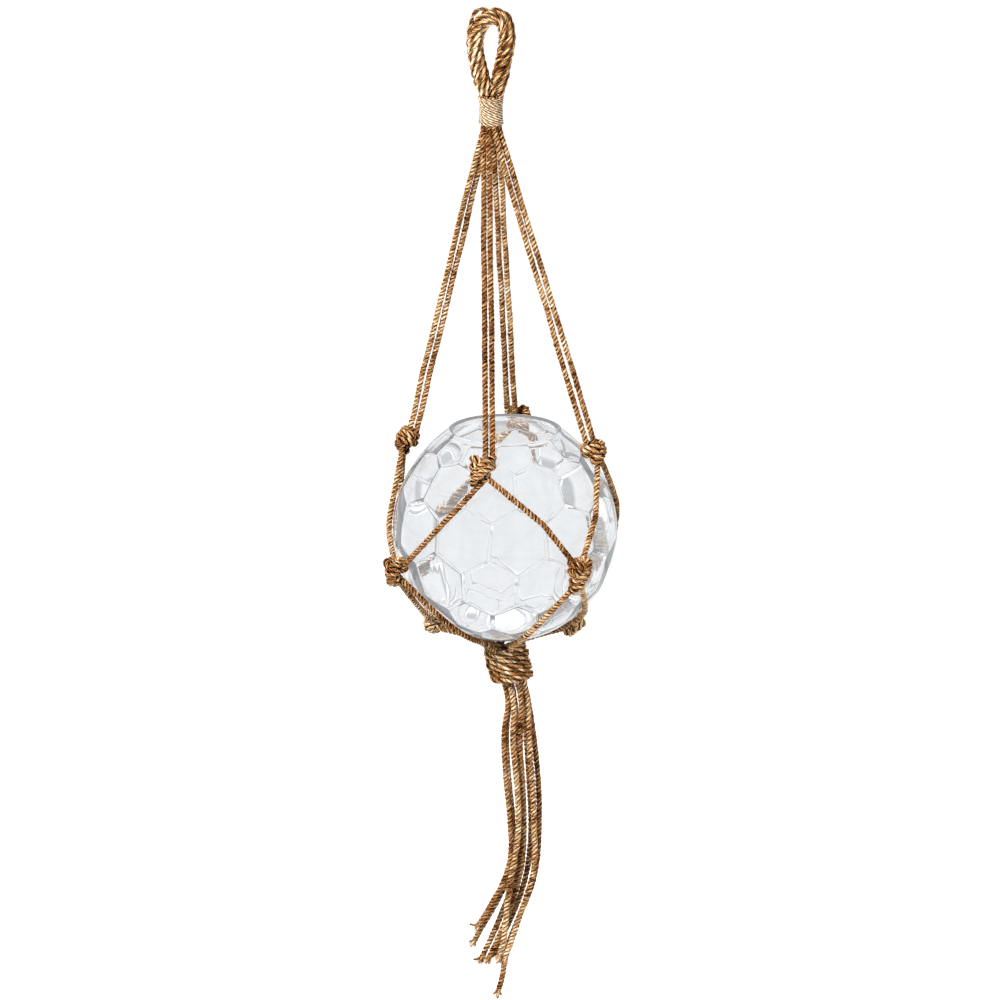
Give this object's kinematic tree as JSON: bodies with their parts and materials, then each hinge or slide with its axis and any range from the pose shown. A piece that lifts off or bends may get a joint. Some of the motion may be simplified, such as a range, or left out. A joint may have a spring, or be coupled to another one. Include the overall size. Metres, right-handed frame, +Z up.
{
  "type": "hanging glass terrarium",
  "caption": "Round glass terrarium with a wide open mouth and honeycomb walls, slung in a knotted jute cord net that hangs from a rope eye and ends in a tassel",
  "frame": {"origin": "where a hook bears, inside the top of the hanging eye", "axes": "+Z is up, -Y faces the viewer, and +X is to the viewer's right"},
  "size_m": [0.1889, 0.1853, 0.8223],
  "materials": {
    "glass": "clear, gloss",
    "jute": "laid natural jute, rough",
    "twine": "pale waxed twine"
  },
  "bodies": {
    "root": {"glass_globe": "glass", "eye_whipping": "twine", "hanging_eye": "jute", "gathering_wrap": "jute", "upper_knot_front": "jute", "upper_knot_left": "jute", "upper_knot_right": "jute", "upper_knot_back": "jute", "lower_knot_front_left": "jute", "lower_knot_front_right": "jute", "lower_knot_back_left": "jute", "lower_knot_back_right": "jute", "leg_front_a": "jute", "leg_front_b": "jute", "leg_left_a": "jute", "leg_left_b": "jute", "leg_right_a": "jute", "leg_right_b": "jute", "leg_back_a": "jute", "leg_back_b": "jute", "net_front_to_front_left": "jute", "net_front_to_front_right": "jute", "net_left_to_front_left": "jute", "net_left_to_back_left": "jute", "net_right_to_front_right": "jute", "net_right_to_back_right": "jute", "net_back_to_back_left": "jute", "net_back_to_back_right": "jute", "net_front_left_to_back_left": "jute", "net_front_right_to_back_right": "jute", "sling_front_left": "jute", "sling_front_right": "jute", "sling_back_left_a": "jute", "sling_back_left_b": "jute", "sling_back_left_c": "jute", "sling_back_right_a": "jute", "sling_back_right_b": "jute", "sling_back_right_c": "jute", "tassel_strand_1": "jute", "tassel_strand_2": "jute", "tassel_strand_3": "jute", "tassel_strand_4": "jute", "tassel_strand_5": "jute", "tassel_strand_6": "jute", "tassel_strand_7": "jute", "tassel_strand_8": "jute"}
  },
  "joints": []
}
